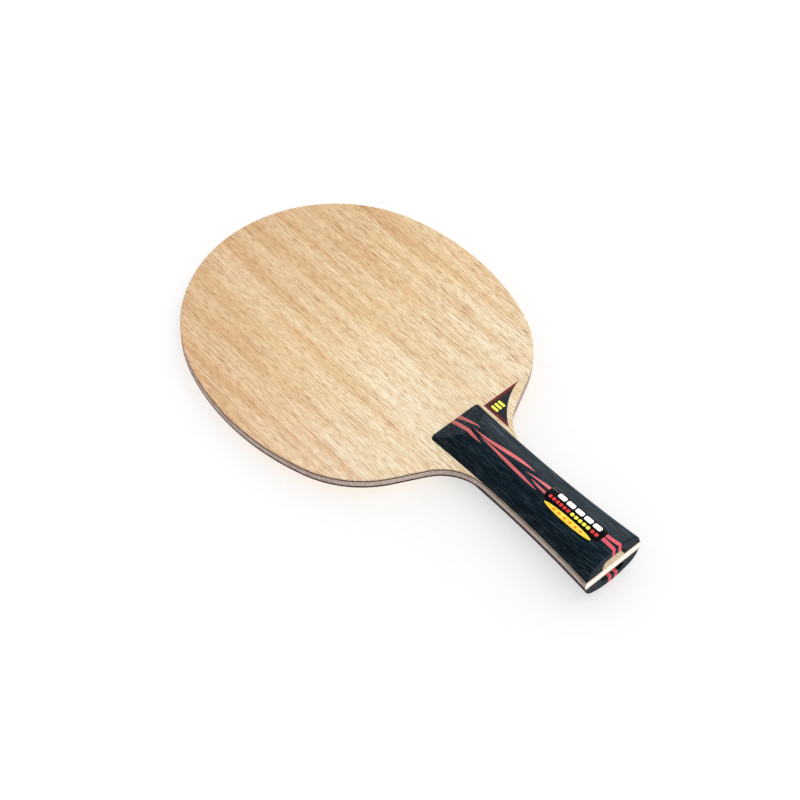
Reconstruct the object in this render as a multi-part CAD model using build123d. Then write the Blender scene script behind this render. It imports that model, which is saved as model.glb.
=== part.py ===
from build123d import *
from build123d.topology import SkipClean
from math import atan, cos, degrees, radians, sin, sqrt
import os

# Bare table tennis blade: a five-ply wooden blade with two shaped handle scales.
# Millimetres. The origin is the middle of the grip, on the blade's mid-plane.
# +Y runs towards the head's tip, +Z out of the front face, X across the blade.

# ---- driving dimensions -------------------------------------------------------

overall_length = 257.0
handle_length = 102.0
outer_ply = 0.6
inner_ply = 0.8
core = 3.0

# The head's outline: arcs that run on from each other, from the tip to the neck.
tip_radius = 73.0
tip_turn = 72.5
side_radius = 124.0
side_turn = 37.0
shoulder_radius = 54.0
shoulder_turn = 43.5
neck_radius = 25.0
rim_bevel = 0.25

# The handle in plan: half widths at the head end, the waist and the butt.
head_end_half = 14.5
waist_half = 13.8
butt_half = 16.7
waist_y = 14.0

# One scale in section: a broad crown, rounder shoulders and sides that lean in.
head_end_height = 8.5
waist_height = 8.4
butt_height = 9.8
crown_turn = 25.0
shoulder_bend = 7.5
side_lean = 18.0
ramp_angle = 30.0
ramp_step = 1.0
butt_lean = 2.0
head_end_round = 1.5
butt_round = 0.5

# The hollow that runs up each scale from the butt, against the blade.
channel_width = 13.6
channel_height = 5.2
channel_length = 70.0
channel_round = 3.0

# The rubber sheets stop at this line, just clear of the handle.
rubber_line = 53.0

# The name badge and the oval set into its edge, on the front scale.
badge_x = 0.8
badge_y = -26.0
badge_width = 8.6
badge_length = 34.0
badge_round = 2.8
badge_thickness = 0.45
lens_x = -4.6
lens_length = 28.4
lens_width = 2.9
lens_margin = 0.5
lens_thickness = 0.6

# The foil in the throat: two straight sides along X and Y and a hollow third one.
throat_x = 16.4
throat_y = 48.5
throat_width = 22.0
throat_length = 16.6
throat_hollow = 1.9
decal_thickness = 0.12

# ---- worked-out places ----------------------------------------------------------

half_blade = core / 2 + inner_ply + outer_ply
butt_y = -handle_length / 2
head_end_y = handle_length / 2
tip_y = overall_length - handle_length / 2
# Higher than anything stands on the blade, for shapes that are cut to the crown.
clear_height = 40.0

# Red veneers, as stations (x, y, width) down the middle of each one. They stand on
# edge in the scale, from the blade's face to the crown, and taper to their ends.
veneer_stations = {
    "head_upper_stripe": [(2.5, 53.0, 3.2), (2.7, 47.0, 1.9), (2.3, 42.0, 1.3), (2.0, 36.0, 0.1)],
    "head_lower_stripe": [(-1.1, 53.0, 2.4), (-1.9, 44.0, 2.1), (-3.0, 37.5, 1.7), (-3.4, 30.0, 0.1)],
    "middle_upper_stripe": [(-0.3, 37.5, 0.1), (0.7, 24.5, 1.7), (2.4, 15.0, 2.0), (3.6, 2.3, 0.1)],
    "middle_lower_stripe": [(-1.2, 32.5, 0.1), (-1.5, 23.0, 1.1), (-2.1, 12.0, 1.6), (-3.1, -5.0, 0.1)],
    "butt_upper_stripe": [(0.5, 5.0, 0.1), (2.1, -9.5, 1.7), (2.4, -42.5, 1.9), (3.6, -53.0, 1.9)],
    "butt_lower_stripe": [(-0.4, 0.6, 0.1), (-1.2, -9.8, 1.5), (0.0, -42.5, 1.9), (-0.9, -53.0, 1.9)],
}


# ---- the blade -----------------------------------------------------------------

def blade_face():
    """The outline that all five plies share, as one flat face."""
    flare = degrees(2 * atan((butt_half - waist_half) / (waist_y - butt_y)))
    flare_radius = (waist_y - butt_y) / sin(radians(flare))
    neck_turn = tip_turn + side_turn + shoulder_turn - 90

    tip = JernArc((0, tip_y), (1, 0), tip_radius, -tip_turn)
    side = JernArc(tip @ 1, tip % 1, side_radius, -side_turn)
    shoulder = JernArc(side @ 1, side % 1, shoulder_radius, -shoulder_turn)
    # The straight neck is as long as the way in to the waist leaves for it.
    neck_run = neck_radius * (1 - cos(radians(neck_turn)))
    slope = shoulder % 1
    neck_length = ((shoulder @ 1).X - waist_half - neck_run) / -slope.X
    neck = Line(shoulder @ 1, shoulder @ 1 + slope * neck_length)
    throat = JernArc(neck @ 1, slope, neck_radius, neck_turn)
    grip = Line(throat @ 1, (waist_half, waist_y))
    flared = JernArc(grip @ 1, (0, -1), flare_radius, flare)
    butt = Line(flared @ 1, (0, butt_y))

    half = Curve() + [tip, side, shoulder, neck, throat, grip, flared, butt]
    return make_face(half + mirror(half, Plane.YZ))


def ply(bottom, thickness):
    """A ply of the blade, from its lower face up."""
    return extrude(Pos(0, 0, bottom) * blade_face(), thickness)


def front_outer_ply():
    """The outer ply, its rim bevelled and its face divided along the rubber line."""
    whole = ply(half_blade - outer_ply, outer_ply)
    edges = whole.edges().group_by(Axis.Z)[-1].sort_by(Axis.Y)
    butt = edges[0]
    whole = chamfer([edge for edge in edges if edge != butt], rim_bevel)
    cut = Plane((0, rubber_line, 0), z_dir=(0, 1, 0))
    head = split(whole, cut, Keep.TOP)
    grip = split(whole, cut, Keep.BOTTOM)
    # Cleaning would merge the two halves' faces again.
    with SkipClean():
        return head.fuse(grip)


# ---- the scales ------------------------------------------------------------------

def half_width(y):
    """Half the handle's width at y: two arcs that meet at the waist."""
    if y < waist_y:
        reach, grow = waist_y - butt_y, butt_half - waist_half
    else:
        reach, grow = head_end_y - waist_y, head_end_half - waist_half
    radius = (reach**2 + grow**2) / (2 * grow)
    return waist_half + radius - sqrt(radius**2 - (y - waist_y) ** 2)


def crown_height(y):
    """A scale's height over the blade's face at y."""
    if y < waist_y:
        share = (waist_y - y) / (waist_y - butt_y)
        return waist_height + (butt_height - waist_height) * share**2
    share = (y - waist_y) / (head_end_y - waist_y)
    return waist_height + (head_end_height - waist_height) * share**2


def crown_face(y):
    """A scale's section at y: crown arc, shoulder arcs and leaning sides."""
    width, height = half_width(y), crown_height(y)
    turn, lean = radians(crown_turn), radians(90 - side_lean)
    run = width - shoulder_bend * (sin(lean) - sin(turn))
    drop = height - shoulder_bend * (cos(turn) - cos(lean))
    size = sin(turn) * sin(lean) - cos(lean) * (1 - cos(turn))
    crown_radius = (run * sin(lean) - drop * cos(lean)) / size

    crown = JernArc((0, height), (1, 0), crown_radius, -crown_turn)
    shoulder = JernArc(crown @ 1, crown % 1, shoulder_bend, crown_turn + side_lean - 90)
    side = Line(shoulder @ 1, (width, 0))
    base = Line((width, 0), (0, 0))
    half = Curve() + [crown, shoulder, side, base]
    section = Plane((0, y, half_blade), x_dir=(1, 0, 0), z_dir=(0, -1, 0))
    return section * make_face(half + mirror(half, Plane.YZ))


def crowned_block(lift=0.0):
    """The scale before its ends are shaped and its hollow is cut."""
    stations = [head_end_y, (head_end_y + waist_y) / 2, waist_y, -17.0, butt_y]
    return Pos(0, 0, lift) * loft([crown_face(y) for y in stations])


def channel():
    """The hollow: flat on the blade, rounded above and at its blind end."""
    nose = channel_width / 2
    straight = channel_length - nose
    # It starts a little outside the butt so that it opens there.
    outside = 2.0
    slab = Rectangle(channel_width, straight + outside, align=(Align.CENTER, Align.MIN))
    plan = Pos(0, butt_y - outside) * slab + Pos(0, butt_y + straight) * Circle(nose)
    solid = extrude(Pos(0, 0, half_blade) * plan, channel_height)
    return fillet(solid.edges().group_by(Axis.Z)[-1], channel_round)


def scale_body():
    """The front scale as one block, before its veneers are let in."""
    body = crowned_block()
    nose = body.faces().sort_by(Axis.Y)[-1].edges()
    base = nose.sort_by(Axis.Z)[0]
    body = fillet([edge for edge in nose if edge != base], head_end_round)
    ramp_tilt = radians(ramp_angle)
    ramp = Plane((0, head_end_y, half_blade + ramp_step), z_dir=(0, sin(ramp_tilt), cos(ramp_tilt)))
    body = split(body, ramp, Keep.BOTTOM)
    tilt = radians(butt_lean)
    butt = Plane((0, butt_y, half_blade), z_dir=(0, -cos(tilt), sin(tilt)))
    body = split(body, butt, Keep.BOTTOM)
    end = body.faces().sort_by(Axis.Y)[0].edges()
    base = end.sort_by(Axis.Z)[0]
    body = fillet([edge for edge in end if edge != base], butt_round)
    return body - channel()


def veneer_prism(stations):
    """A veneer's plan, from its stations, as a tall prism."""
    left = [(x - width / 2, y) for x, y, width in stations]
    right = [(x + width / 2, y) for x, y, width in stations]
    outline = Curve() + [
        Spline(*left),
        Line(left[-1], right[-1]),
        Spline(*reversed(right)),
        Line(right[0], left[0]),
    ]
    return extrude(make_face(outline), clear_height)


# ---- the badges --------------------------------------------------------------------

def pad(plan, thickness):
    """A thin pad of the given plan that lies on the scale's crown."""
    prism = extrude(plan, clear_height)
    return (crowned_block(thickness) & prism) - crowned_block()


def name_badge_plan():
    """A rounded oblong with a bulge around the oval that it carries."""
    plate = RectangleRounded(badge_width, badge_length, badge_round)
    return Pos(badge_x, badge_y) * plate + lens_plan(lens_margin)


def lens_plan(margin=0.0):
    """The oval beside the badge, grown by a margin."""
    return Pos(lens_x, badge_y) * Ellipse(lens_width / 2 + margin, lens_length / 2 + margin)


def throat_badge():
    """A printed foil on the blade, in the throat beside the handle."""
    corner = (throat_x, throat_y)
    wide = (throat_x + throat_width, throat_y)
    low = (throat_x, throat_y - throat_length)
    middle = (throat_x + throat_width / 2 - throat_hollow, throat_y - throat_length / 2 + throat_hollow)
    outline = Curve() + [Line(low, corner), Line(corner, wide), ThreePointArc(wide, middle, low)]
    return extrude(Pos(0, 0, half_blade) * make_face(outline), decal_thickness)


def write(name, solid):
    solid.label = name
    export_step(solid, f"parts/{name}.step")
    print(f"{name}: {solid.volume:.1f} mm3")


os.makedirs("parts", exist_ok=True)

front_ply = front_outer_ply()
write("core_ply", ply(-core / 2, core))
write("front_inner_ply", ply(core / 2, inner_ply))
write("back_inner_ply", ply(-core / 2 - inner_ply, inner_ply))
write("front_outer_ply", front_ply)
write("back_outer_ply", Rot(0, 180, 0) * front_ply)

# Each veneer is taken out of what the ones before it have left of the scale.
dark_wood = scale_body()
veneers = {}
for name, stations in veneer_stations.items():
    prism = veneer_prism(stations)
    veneers[name] = dark_wood & prism
    dark_wood -= prism

write("front_handle_scale", dark_wood)
# The back scale is the front one's mirror image in the blade.
write("back_handle_scale", mirror(dark_wood, Plane.XY))
for name, veneer in veneers.items():
    write(f"front_{name}", veneer)
    write(f"back_{name}", mirror(veneer, Plane.XY))

write("name_badge", pad(name_badge_plan() - lens_plan(), badge_thickness))
write("badge_oval", pad(lens_plan(), lens_thickness))
write("throat_badge", throat_badge())
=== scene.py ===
# %% [markdown]
# # A bare table tennis blade
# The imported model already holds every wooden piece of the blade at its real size. This lesson gives
# those pieces their finishes, models the two small domed badges and the printed marks, and sets up
# the studio. Everything is in metres. The origin is the middle of the grip, Y runs to the head's tip
# and Z out of the front face.

import math

import bpy
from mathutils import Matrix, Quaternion, Vector


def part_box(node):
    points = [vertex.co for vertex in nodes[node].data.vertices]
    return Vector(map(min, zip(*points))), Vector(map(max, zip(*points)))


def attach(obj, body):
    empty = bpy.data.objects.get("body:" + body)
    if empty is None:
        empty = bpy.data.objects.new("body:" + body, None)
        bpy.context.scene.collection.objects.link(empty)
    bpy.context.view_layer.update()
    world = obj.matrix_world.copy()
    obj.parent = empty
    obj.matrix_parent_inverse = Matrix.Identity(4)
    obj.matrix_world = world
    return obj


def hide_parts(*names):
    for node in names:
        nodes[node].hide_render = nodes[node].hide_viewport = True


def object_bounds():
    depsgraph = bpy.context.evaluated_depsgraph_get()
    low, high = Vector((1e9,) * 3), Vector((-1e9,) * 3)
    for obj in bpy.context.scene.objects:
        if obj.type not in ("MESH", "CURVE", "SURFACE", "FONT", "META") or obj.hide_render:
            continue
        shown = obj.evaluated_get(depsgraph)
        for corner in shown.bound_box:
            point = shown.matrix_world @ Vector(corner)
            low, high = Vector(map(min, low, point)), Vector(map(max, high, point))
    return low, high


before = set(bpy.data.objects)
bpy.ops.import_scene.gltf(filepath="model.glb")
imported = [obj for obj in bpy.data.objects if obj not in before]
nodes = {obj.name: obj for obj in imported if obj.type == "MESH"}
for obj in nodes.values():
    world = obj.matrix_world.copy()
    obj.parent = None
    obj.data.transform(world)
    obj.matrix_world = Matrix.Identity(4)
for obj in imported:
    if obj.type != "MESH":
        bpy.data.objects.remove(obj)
cad_low, cad_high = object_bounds()
mm = 0.001
print(f"{len(nodes)} nodes, {(cad_high - cad_low).y / mm:.0f} mm long")

# %% [markdown]
# ## Helpers for materials
# A finish is a small graph of nodes round one Principled shader. Short helpers keep the graphs
# readable: each one adds a step, such as a streaky noise, a colour for a value, or one colour over
# another. The noise reads Object coordinates. The pieces sit at the origin, so these are real metres,
# and a streak keeps its real size on every piece.

# %% Colours and a new material
def srgb(red, green, blue):
    """A colour given in the usual 0 to 255 steps, as the linear values that shaders use.
    The formula and its figures are those of the sRGB standard."""
    def linear(step):
        share = step / 255
        return share / 12.92 if share <= 0.04045 else ((share + 0.055) / 1.055) ** 2.4
    return (linear(red), linear(green), linear(blue), 1.0)


def grey(value):
    """A grey that stands for a plain number from 0 to 1."""
    return (value, value, value, 1.0)


BLACK, WHITE = grey(0.0), grey(1.0)


def start_material(name, roughness, specular):
    """A new material and its Principled shader."""
    material = bpy.data.materials.new(name)
    material.use_nodes = True
    shader = material.node_tree.nodes["Principled BSDF"]
    shader.inputs["Roughness"].default_value = roughness
    shader.inputs["Specular IOR Level"].default_value = specular
    return material, shader


def add_node(material, kind, **settings):
    """A node of that kind with its settings."""
    node = material.node_tree.nodes.new(kind)
    for setting, value in settings.items():
        setattr(node, setting, value)
    return node


print("colour helpers ready")


# %% Patterns, blends and relief
def streaks(material, width, length, detail, place=0.0):
    """Noise drawn out along Y: streaks about width across and length long, in metres.
    They are three times as deep as they are wide, so that they carry on over a slope.
    Another place gives another pattern."""
    links = material.node_tree.links
    where = add_node(material, "ShaderNodeTexCoord")
    mapping = add_node(material, "ShaderNodeMapping")
    mapping.inputs["Location"].default_value = (place, place, place)
    mapping.inputs["Scale"].default_value = (1 / width, 1 / length, 1 / (3 * width))
    noise = add_node(material, "ShaderNodeTexNoise")
    noise.inputs["Scale"].default_value = 1.0
    noise.inputs["Detail"].default_value = detail
    links.new(where.outputs["Object"], mapping.inputs["Vector"])
    links.new(mapping.outputs["Vector"], noise.inputs["Vector"])
    return noise.outputs["Fac"]


def ramp(material, value, stops):
    """A value turned into a colour by (position, colour) stops."""
    node = add_node(material, "ShaderNodeValToRGB")
    node.color_ramp.elements[0].position, node.color_ramp.elements[0].color = stops[0]
    node.color_ramp.elements[1].position, node.color_ramp.elements[1].color = stops[-1]
    for position, colour in stops[1:-1]:
        node.color_ramp.elements.new(position).color = colour
    material.node_tree.links.new(value, node.inputs["Fac"])
    return node.outputs["Color"]


def blend_colours(material, share, under, over, kind="MIX"):
    """One colour over another. The share, the colours or both may come from other nodes."""
    node = add_node(material, "ShaderNodeMix", data_type="RGBA", blend_type=kind)
    factor, first, second = node.inputs[0], node.inputs[6], node.inputs[7]
    for socket, value in ((factor, share), (first, under), (second, over)):
        if isinstance(value, bpy.types.NodeSocket):
            material.node_tree.links.new(value, socket)
        else:
            socket.default_value = value
    return node.outputs[2]


def place_along(material, axis, start, end):
    """0 before start and 1 after end along an axis of the piece, in metres."""
    links = material.node_tree.links
    where = add_node(material, "ShaderNodeTexCoord")
    parts = add_node(material, "ShaderNodeSeparateXYZ")
    spread = add_node(material, "ShaderNodeMapRange")
    spread.inputs["From Min"].default_value = start
    spread.inputs["From Max"].default_value = end
    links.new(where.outputs["Object"], parts.inputs["Vector"])
    links.new(parts.outputs[axis], spread.inputs["Value"])
    return spread.outputs["Result"]


def roughen(material, shader, value, depth):
    """Fine relief from a value: depth is its height in metres."""
    bump = add_node(material, "ShaderNodeBump")
    bump.inputs["Strength"].default_value = 1.0
    bump.inputs["Distance"].default_value = depth
    material.node_tree.links.new(value, bump.inputs["Height"])
    material.node_tree.links.new(bump.outputs["Normal"], shader.inputs["Normal"])


def paint(material, shader, colour):
    """The colour that a graph has worked out goes to the shader."""
    material.node_tree.links.new(colour, shader.inputs["Base Color"])


print("pattern helpers ready")

# %% [markdown]
# ## The face plies
# The outer plies are a pale tropical wood. Their ground is painted lighter and creamier towards the neck,
# as painted light from the lamps' side, and a little darker and redder at the left, as painted shade. A
# flat wood texture would need unwrapping and would smear over the bevelled rim, so the figure is worked
# out from noise in space instead. Four sizes of streaks make it read as wood: soft bands of cream and tan
# some millimetres wide, long threads inside them, short flecks, and dark pores that are cut lengthwise.
# The pores are the noise's rare peaks.

# %% Ground and figure of the face wood
neck_y = 65 * mm


def face_ground_with_painted_light(material):
    """The colour under the figure: creamy at the neck, browner at the tip, a little redder at the left. The
    lighter, creamier neck end is painted light, and the redder left is painted shade.
    """
    low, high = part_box("front_outer_ply")
    # The ramp along Y is painted light: lighter and creamier towards the neck, on the side the lamps come
    # from.
    ground = ramp(material, place_along(material, "Y", high.y, neck_y), [
        (0.0, srgb(213, 189, 156)),
        (0.6, srgb(227, 211, 179)),
        (1.0, srgb(232, 225, 202)),
    ])
    # The ramp along X is painted shade: the near left side is a little darker and redder, away from the
    # lamps.
    left = ramp(material, place_along(material, "X", low.x, 0.0), [
        (0.0, srgb(245, 234, 232)),
        (0.6, WHITE),
    ])
    return blend_colours(material, 1.0, ground, left, "MULTIPLY")


def face_figure(material, wood):
    """Bands, threads and flecks darken the ground, from the widest to the finest."""
    bands = ramp(material, streaks(material, 8 * mm, 120 * mm, detail=2.0), [
        (0.36, srgb(242, 224, 206)),
        (0.50, srgb(250, 244, 236)),
        (0.62, WHITE),
    ])
    threads = ramp(material, streaks(material, 0.5 * mm, 60 * mm, detail=3.0, place=3.0), [
        (0.36, srgb(222, 200, 176)),
        (0.50, srgb(247, 241, 233)),
        (0.62, WHITE),
    ])
    flecks = ramp(material, streaks(material, 0.3 * mm, 4.5 * mm, detail=2.0, place=5.0), [
        (0.34, srgb(208, 182, 156)),
        (0.50, srgb(247, 241, 234)),
        (0.64, WHITE),
    ])
    for strength, layer in ((0.85, bands), (0.7, threads), (0.8, flecks)):
        wood = blend_colours(material, strength, wood, layer, "MULTIPLY")
    return wood


print("face wood: the ground is creamiest at y", round(neck_y / mm), "mm")


# %% Pores and rim of the face wood
def with_pores(material, wood, dashes):
    """Brown pores where the dashes peak, stronger on the side of the foil."""
    pores = ramp(material, dashes, [(0.62, BLACK), (0.70, WHITE)])
    foil_side = place_along(material, "X", 10 * mm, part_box("front_outer_ply")[1].x)
    strength = ramp(material, foil_side, [(0.0, grey(0.55)), (1.0, WHITE)])
    pores = blend_colours(material, 1.0, pores, strength, "MULTIPLY")
    return blend_colours(material, pores, wood, srgb(140, 92, 60))


def with_painted_shade_on_back_rim(material, wood):
    """The back ply's sawn rim is painted near black, as painted shade under the blade's edge. Its flat face
    stays pale.
    """
    low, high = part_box("back_outer_ply")
    step = 0.02 * mm
    under_top = place_along(material, "Z", high.z + step, high.z - step)
    above_face = place_along(material, "Z", low.z + step, low.z + 2 * step)
    rim = blend_colours(material, 1.0, under_top, above_face, "MULTIPLY")
    # This colour is painted shade: the deep shadow along the lower edge of the rim.
    return blend_colours(material, rim, wood, srgb(40, 26, 22))


def face_wood():
    material, shader = start_material("face_wood", roughness=0.6, specular=0.15)
    wood = face_figure(material, face_ground_with_painted_light(material))
    dashes = streaks(material, 0.35 * mm, 9 * mm, detail=1.0, place=7.0)
    wood = with_pores(material, wood, dashes)
    paint(material, shader, with_painted_shade_on_back_rim(material, wood))
    roughen(material, shader, dashes, -0.006 * mm)
    return material


face = face_wood()
print("made", face.name)

# %% [markdown]
# ## The core and the inner plies
# The core is a light, greyish wood with little figure. The inner plies are dyed dark and show only as
# thin lines round the rim. On the cut butt they and the core are near white: partly the sawn wood's own
# paler tone, partly painted light, as the lamp falls full on the butt. The butt could be a face with its
# own material, but the imported shapes stay as they are, so the colour changes by its place along Y,
# over the last tenths of a millimetre before the butt.

# %% Core wood and inner plies
def pale_and_painted_light_at_the_butt(material, wood, pale):
    """The wood's colour gives way to a near-white one just before the butt: partly the sawn wood's paler
    tone, partly painted light.
    """
    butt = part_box("core_ply")[0].y
    # The near-white butt is partly painted light, where the lamp falls full on the cut butt.
    sawn = place_along(material, "Y", butt + 0.4 * mm, butt + 0.1 * mm)
    return blend_colours(material, sawn, wood, pale)


def core_wood():
    material, shader = start_material("core_wood", roughness=0.75, specular=0.2)
    grain = ramp(material, streaks(material, 0.5 * mm, 9 * mm, detail=3.0, place=11.0), [
        (0.32, srgb(160, 143, 134)),
        (0.52, srgb(184, 168, 158)),
        (0.72, srgb(198, 184, 174)),
    ])
    paint(material, shader, pale_and_painted_light_at_the_butt(material, grain, srgb(244, 234, 226)))
    return material


def inner_wood():
    material, shader = start_material("inner_ply_wood", roughness=0.7, specular=0.2)
    grain = ramp(material, streaks(material, 0.5 * mm, 8 * mm, detail=2.0, place=17.0), [
        (0.35, srgb(44, 12, 12)),
        (0.65, srgb(84, 28, 26)),
    ])
    paint(material, shader, pale_and_painted_light_at_the_butt(material, grain, srgb(238, 214, 196)))
    return material


core, inner = core_wood(), inner_wood()
print("made", core.name, inner.name)

# %% [markdown]
# ## The dyed scales and their red veneers
# The scales are dyed a blue-black that leaves the grain as fine grey-blue threads, and a thin seal
# gives them a soft shine. The same threads drive the colour and a fine relief, because open grain is
# seen as both. The red veneers are redder towards the butt and browner at the head end.

# %% Dark wood and red veneer
def dark_wood():
    material, shader = start_material("dark_wood", roughness=0.45, specular=0.04)
    tone = ramp(material, streaks(material, 4 * mm, 60 * mm, detail=2.0, place=23.0), [
        (0.32, srgb(6, 18, 26)),
        (0.68, srgb(13, 29, 38)),
    ])
    threads = streaks(material, 0.45 * mm, 9 * mm, detail=3.0, place=29.0)
    lines = ramp(material, threads, [(0.50, BLACK), (0.74, grey(0.5))])
    paint(material, shader, blend_colours(material, lines, tone, srgb(74, 90, 102)))
    roughen(material, shader, threads, 0.03 * mm)
    return material


def red_veneer():
    material, shader = start_material("red_veneer", roughness=0.5, specular=0.15)
    low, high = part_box("front_handle_scale")
    red = ramp(material, place_along(material, "Y", low.y, high.y), [
        (0.0, srgb(214, 82, 98)),
        (0.10, srgb(216, 92, 104)),
        (0.45, srgb(214, 108, 110)),
        (0.85, srgb(200, 98, 98)),
        (1.0, srgb(168, 90, 84)),
    ])
    grain = ramp(material, streaks(material, 0.4 * mm, 7 * mm, detail=2.0, place=31.0), [
        (0.35, srgb(214, 196, 196)),
        (0.65, WHITE),
    ])
    paint(material, shader, blend_colours(material, 0.8, red, grain, "MULTIPLY"))
    return material


dark, red = dark_wood(), red_veneer()
print("made", dark.name, red.name)

# %% [markdown]
# ## The plastics and the inks
# The name badge and its oval are coloured plastic under a film of clear resin, so a thin coat layer
# lies over their colour. The marks on them are screen-printed. Resin and ink are both nearly even, so
# each gets two close tones and a soft cloud between them, which a single flat colour wouldn't show.

# %% Badge plastics and inks
def glossy_plastic(name, dark_tone, light_tone):
    """A coloured plastic under clear resin, with a faint cloudiness in the colour."""
    material, shader = start_material(name, roughness=0.3, specular=0.03)
    shader.inputs["Coat Weight"].default_value = 0.05
    shader.inputs["Coat Roughness"].default_value = 0.1
    cloud = streaks(material, 2.2 * mm, 3.0 * mm, detail=2.0, place=37.0)
    paint(material, shader, ramp(material, cloud, [(0.3, dark_tone), (0.7, light_tone)]))
    return material


def print_ink(name, dark_tone, light_tone):
    """Screen-printed ink, a little uneven."""
    material, shader = start_material(name, roughness=0.4, specular=0.15)
    cover = streaks(material, 0.5 * mm, 0.7 * mm, detail=2.0, place=41.0)
    paint(material, shader, ramp(material, cover, [(0.3, dark_tone), (0.7, light_tone)]))
    return material


black = glossy_plastic("black_badge", srgb(3, 4, 7), srgb(8, 10, 14))
yellow = glossy_plastic("yellow_badge", srgb(238, 196, 52), srgb(250, 226, 92))
white_ink = print_ink("white_ink", srgb(236, 236, 238), srgb(252, 252, 252))
red_ink = print_ink("red_ink", srgb(196, 36, 44), srgb(222, 62, 60))
yellow_ink = print_ink("yellow_ink", srgb(238, 226, 60), srgb(250, 244, 96))
orange_ink = print_ink("orange_ink", srgb(222, 118, 30), srgb(240, 146, 48))
print("made the badge plastics and inks")

# %% [markdown]
# ## The throat foil
# The foil is a printed sticker: a black field with a beaded border along its two straight sides. The
# beads are too fine to model, so a checker stands for them. The border is where the place is close to
# the left side or to the top side, and the larger of the two answers picks it.

# %% Throat foil
def throat_foil():
    material, shader = start_material("throat_foil", roughness=0.4, specular=0.12)
    low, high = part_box("throat_badge")
    border, bead = 1.5 * mm, 0.75 * mm
    blur = 0.05 * border
    near_left = place_along(material, "X", low.x + border, low.x + border - blur)
    near_top = place_along(material, "Y", high.y - border, high.y - border + blur)
    edge = add_node(material, "ShaderNodeMath", operation="MAXIMUM")
    material.node_tree.links.new(near_left, edge.inputs[0])
    material.node_tree.links.new(near_top, edge.inputs[1])
    where = add_node(material, "ShaderNodeTexCoord")
    beads = add_node(material, "ShaderNodeTexChecker")
    beads.inputs["Scale"].default_value = 1 / bead
    beads.inputs["Color1"].default_value = srgb(128, 40, 32)
    beads.inputs["Color2"].default_value = srgb(30, 10, 12)
    material.node_tree.links.new(where.outputs["Object"], beads.inputs["Vector"])
    field = ramp(material, streaks(material, 1.5 * mm, 2.0 * mm, detail=2.0, place=43.0), [
        (0.3, srgb(14, 18, 24)),
        (0.7, srgb(24, 30, 36)),
    ])
    paint(material, shader, blend_colours(material, edge.outputs[0], field, beads.outputs["Color"]))
    return material


foil = throat_foil()
print("made", foil.name)

# %% [markdown]
# ## Finishes onto the wooden pieces
# A node whose shape is right stays as it is and only gets its finish. The end of a piece's name says
# what it is made of, so one table of endings dresses the front and the back alike.

# %% Assign the finishes
finish_for = {
    "outer_ply": face,
    "core_ply": core,
    "inner_ply": inner,
    "scale": dark,
    "stripe": red,
    "throat_badge": foil,
}
finished = 0
for name, node in nodes.items():
    for ending, material in finish_for.items():
        if name.endswith(ending):
            node.data.materials.clear()
            node.data.materials.append(material)
            finished += 1
print("finished", finished, "nodes")

# %% [markdown]
# ## Domed badges
# The plate and its oval are flat-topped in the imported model, but resin stands on them with a round
# shoulder. They could be drawn again from their outlines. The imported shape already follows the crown
# of the scale, though, so the dome starts as a copy of it: the loose triangles are merged, the flat
# stretches dissolved, and a bevel rounds the rim.

# %% Make the domes
def select_only(piece):
    """Everything is deselected, then this piece is selected and active."""
    bpy.ops.object.select_all(action="DESELECT")
    piece.select_set(True)
    bpy.context.view_layer.objects.active = piece


def domed(node_name, piece_name, shoulder, material):
    """A copy of a packed plate with a rounded rim, standing for it."""
    piece = bpy.data.objects.new(piece_name, nodes[node_name].data.copy())
    bpy.context.scene.collection.objects.link(piece)
    select_only(piece)
    bpy.ops.object.mode_set(mode="EDIT")
    bpy.ops.mesh.select_all(action="SELECT")
    bpy.ops.mesh.remove_doubles(threshold=0.002 * mm)
    bpy.ops.mesh.dissolve_limited(angle_limit=math.radians(1.0))
    bpy.ops.object.mode_set(mode="OBJECT")
    rim = piece.modifiers.new("rim", "BEVEL")
    rim.width = shoulder
    rim.segments = 4
    rim.limit_method = "ANGLE"
    rim.angle_limit = math.radians(50)
    bpy.ops.object.modifier_apply(modifier=rim.name)
    bpy.ops.object.shade_smooth_by_angle(angle=math.radians(40))
    piece.data.materials.clear()
    piece.data.materials.append(material)
    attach(piece, "root")
    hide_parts(node_name)
    print(piece_name, len(piece.data.polygons), "faces")
    return piece


plate = domed("name_badge", "badge_plate", 0.25 * mm, black)
oval = domed("badge_oval", "badge_oval_dome", 0.3 * mm, yellow)

# %% [markdown]
# ## Printed marks
# The marks are plain rows of ink blocks. They could be painted by the badge's material, but ink lies
# on top of the surface with a crisp edge, so they are thin pieces of their own. Each row starts as
# flat planes at their size and place, joined into one piece. Their corners are rounded, they are cut
# across so that they can bend, and the row is pressed straight down onto the surface below it.
# Solidify gives the ink its thickness.

# %% Lay out a row of blocks
def flat_row(name, first, width, block, pitch, blocks):
    """A row of flat planes along Y, the first one at a given place, joined and left active."""
    x, y, z = first
    bpy.ops.object.select_all(action="DESELECT")
    for number in range(blocks):
        bpy.ops.mesh.primitive_plane_add(size=1, location=(x, y + number * pitch, z))
        bpy.context.object.scale = (width, block, 1)
        bpy.ops.object.transform_apply(location=True, rotation=True, scale=True)
        if number == 0:
            row = bpy.context.object
        row.select_set(True)
        bpy.context.view_layer.objects.active = row
        if number > 0:
            bpy.ops.object.join()
    row.name = name
    return row


def cut_across(middle, span, pitch, along):
    """Even cuts through the piece in edit mode, about a pitch apart, square to a direction."""
    cuts = max(2, round(span / pitch))
    for step in range(1, cuts):
        spot = middle + along * span * (step / cuts - 0.5)
        bpy.ops.mesh.select_all(action="SELECT")
        bpy.ops.mesh.bisect(plane_co=spot, plane_no=along)


print("row helpers ready")


# %% Print a row onto a surface
ink_lift, ink_thickness = 0.01 * mm, 0.03 * mm
corner_share = 0.3


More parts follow.
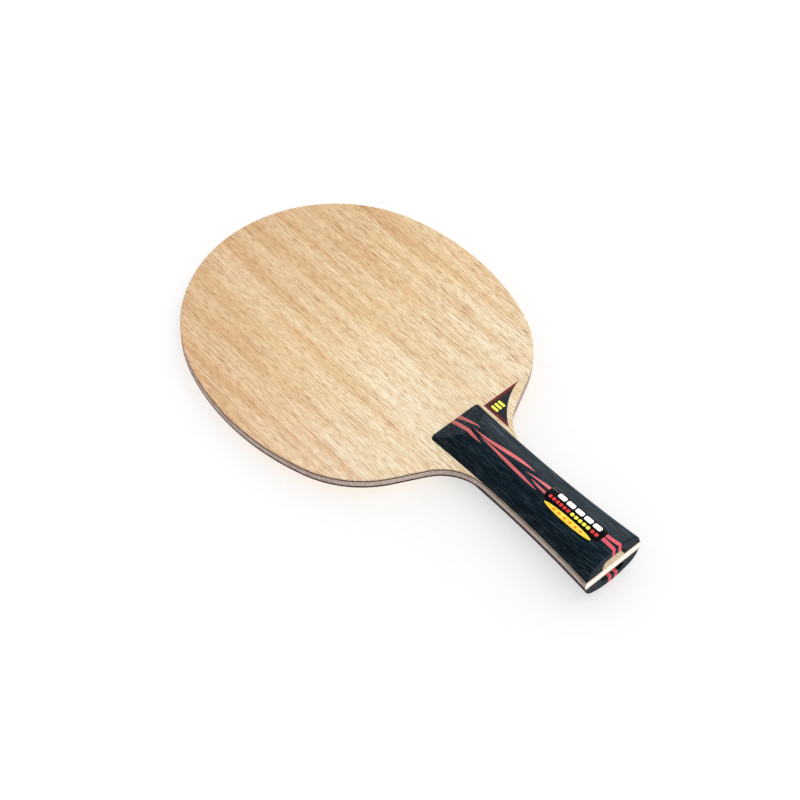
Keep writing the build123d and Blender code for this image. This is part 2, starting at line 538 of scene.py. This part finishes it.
def printed(name, x, y, width, length, surface, ink, blocks=1, gap=0.0):
    """A row of ink blocks with round corners, pressed down onto a surface.
    The row is length long along Y. Sizes are in metres."""
    above = cad_high.z + 5 * mm
    block = (length - gap * (blocks - 1)) / blocks
    first = (x, y + (block - length) / 2, above)
    row = flat_row(name, first, width, block, block + gap, blocks)
    middle = Vector((x, y, above))
    bpy.ops.object.mode_set(mode="EDIT")
    bpy.ops.mesh.select_all(action="SELECT")
    bpy.ops.mesh.bevel(offset=min(width, block) * corner_share, segments=4, affect="VERTICES")
    cut_across(middle, length, 1.5 * mm, Vector((0, 1, 0)))
    cut_across(middle, width, 0.5 * mm, Vector((1, 0, 0)))
    bpy.ops.object.mode_set(mode="OBJECT")
    press = row.modifiers.new("press", "SHRINKWRAP")
    press.target = surface
    press.wrap_method = "PROJECT"
    press.use_project_z = True
    press.use_negative_direction = True
    press.use_positive_direction = False
    press.offset = ink_lift
    bpy.ops.object.modifier_apply(modifier=press.name)
    body = row.modifiers.new("body", "SOLIDIFY")
    body.thickness = ink_thickness
    body.offset = 1.0
    bpy.ops.object.modifier_apply(modifier=body.name)
    row.data.materials.clear()
    row.data.materials.append(ink)
    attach(row, "root")
    top = max(vertex.co.z for vertex in row.data.vertices)
    print(name, len(row.data.vertices), "points, top at", round(top / mm, 2), "mm")


# %% [markdown]
# ## Where the marks go
# The plate carries a row of large white blocks, with a finer row in red and yellow beside it. The oval
# has a row of small orange blocks, and the foil three yellow dashes. They are plain shapes and say
# nothing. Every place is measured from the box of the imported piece, so the marks follow their piece.

# %% Marks on the plate
plate_low, plate_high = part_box("name_badge")
plate_y = (plate_low.y + plate_high.y) / 2
printed("plate_white_row", plate_high.x - 2.6 * mm, plate_y - 0.9 * mm, width=2.5 * mm, length=26 * mm,
        surface=plate, ink=white_ink, blocks=5, gap=0.9 * mm)

coloured_x = plate_high.x - 6.0 * mm
coloured_width, coloured_gap = 1.7 * mm, 0.6 * mm
for name, from_middle, length, ink, blocks in (
    ("plate_red_row_head", 8.6 * mm, 12.4 * mm, red_ink, 6),
    ("plate_yellow_row", -4.2 * mm, 11.4 * mm, yellow_ink, 5),
    ("plate_red_row_butt", -12.9 * mm, 4.2 * mm, red_ink, 2),
):
    printed(name, coloured_x, plate_y + from_middle, coloured_width, length, plate, ink, blocks,
            coloured_gap)

# %% Marks on the oval and the foil
oval_low, oval_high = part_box("badge_oval")
oval_x, oval_y = (oval_low.x + oval_high.x) / 2, (oval_low.y + oval_high.y) / 2
printed("oval_dots", oval_x, oval_y, width=1.0 * mm, length=18 * mm, surface=oval, ink=orange_ink,
        blocks=6, gap=1.7 * mm)

foil_low, foil_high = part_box("throat_badge")
dash_y = foil_high.y - 4.6 * mm
for number in range(3):
    dash_x = foil_low.x + (2.6 + number * 2.1) * mm
    printed(f"foil_dash_{number + 1}", dash_x, dash_y, width=1.3 * mm, length=4.2 * mm,
            surface=nodes["throat_badge"], ink=yellow_ink)

# %% [markdown]
# ## The floor
# The blade lies on its back. It rests on the high part of the back scale and on the rim of the head,
# so it is tipped a little against whatever it lies on. The blade keeps its place here and the floor is
# tipped instead. Seen from the side, the floor is the line under the blade that spans its middle: the
# lowest points are found, and the line that bridges them below the middle is kept.

# %% Find where the blade rests
def lowest_line(points):
    """The lower outline of (y, z) points, from low y to high y."""
    outline = []
    for point in sorted(points):
        while len(outline) > 1:
            (ay, az), (by, bz) = outline[-2], outline[-1]
            turn = (by - ay) * (point[1] - az) - (bz - az) * (point[0] - ay)
            if turn > 0:
                break
            outline.pop()
        outline.append(point)
    return outline


points = {(vertex.co.y, vertex.co.z) for node in nodes.values() for vertex in node.data.vertices}
outline = lowest_line(points)
middle_y = (cad_low.y + cad_high.y) / 2
rest = next((a, b) for a, b in zip(outline, outline[1:]) if a[0] <= middle_y <= b[0])
(near_y, near_z), (far_y, far_z) = rest
tip_angle = math.atan2(far_z - near_z, far_y - near_y)
print(f"rests at y {near_y / mm:.1f} and {far_y / mm:.1f} mm, tipped {math.degrees(tip_angle):.2f} degrees")

# %% Lay the floor there
floor_size = 60.0
floor_gap = 0.02 * mm
bpy.ops.object.select_all(action="DESELECT")
bpy.ops.mesh.primitive_plane_add(size=floor_size, location=(0, near_y, near_z - floor_gap),
                                 rotation=(tip_angle, 0, 0))
floor = bpy.context.object
floor.name = "floor"
paper, paper_shader = start_material("paper", roughness=0.9, specular=0.1)
fibres = streaks(paper, 3 * mm, 3 * mm, detail=2.0)
paint(paper, paper_shader, ramp(paper, fibres, [(0.3, grey(0.77)), (0.7, grey(0.78))]))
floor.data.materials.append(paper)
print("floor laid,", floor_size, "m wide")

# %% [markdown]
# ## Light
# A pale room gives soft light from everywhere, and its shadow is a soft one close to the blade. Two
# far lamps add to it and cast no shadows. The key lamp, beyond the butt, whitens the cut butt. The
# other is low on the far side: it lightens that side of the crown and leaves the near rim in shade.

# %% Studio light
world = bpy.data.worlds.new("room")
bpy.context.scene.world = world
world.use_nodes = True
room = world.node_tree.nodes["Background"]
room.inputs["Color"].default_value = WHITE
room.inputs["Strength"].default_value = 0.64


def even_lamp(name, toward, strength):
    """A far lamp that lights everything from one side and casts no shadow."""
    lamp = bpy.data.lights.new(name, "SUN")
    lamp.energy = strength
    lamp.angle = math.radians(30)
    lamp.use_shadow = False
    holder = bpy.data.objects.new(name, lamp)
    bpy.context.scene.collection.objects.link(holder)
    holder.rotation_mode = "QUATERNION"
    holder.rotation_quaternion = Vector(toward).to_track_quat("Z", "Y")


even_lamp("key_lamp", toward=(0.6, -1.08, 1.0), strength=1.8)
even_lamp("far_lamp", toward=(1.0, 0.82, 0.5), strength=2.8)
bpy.context.scene.view_settings.view_transform = "Standard"

# %% [markdown]
# ## Camera
# The camera looks down on the blade from beside the butt. It has a long lens and stands a metre away,
# so that the blade keeps its proportions. Two angles and a distance from the point it looks at are
# easier to change than a position and a turn, so its place is worked out from them.

# %% Camera
azimuth, elevation = math.radians(-42.98), math.radians(52.26)
distance = 1003.5 * mm
roll = math.radians(1.29)
aim = Vector((-8.6 * mm, 77.9 * mm, 0))
toward_camera = Vector((
    math.sin(azimuth) * math.cos(elevation),
    -math.cos(azimuth) * math.cos(elevation),
    math.sin(elevation),
))
camera_data = bpy.data.cameras.new("camera")
camera_data.lens = 98.36
camera_data.sensor_width = 36.0
camera_data.clip_end = 100.0
camera = bpy.data.objects.new("camera", camera_data)
bpy.context.scene.collection.objects.link(camera)
camera.rotation_mode = "QUATERNION"
camera.location = aim + toward_camera * distance
camera.rotation_quaternion = toward_camera.to_track_quat("Z", "Y") @ Quaternion((0, 0, 1), roll)
bpy.context.scene.camera = camera
print("camera at", [round(place / mm) for place in camera.location], "mm")
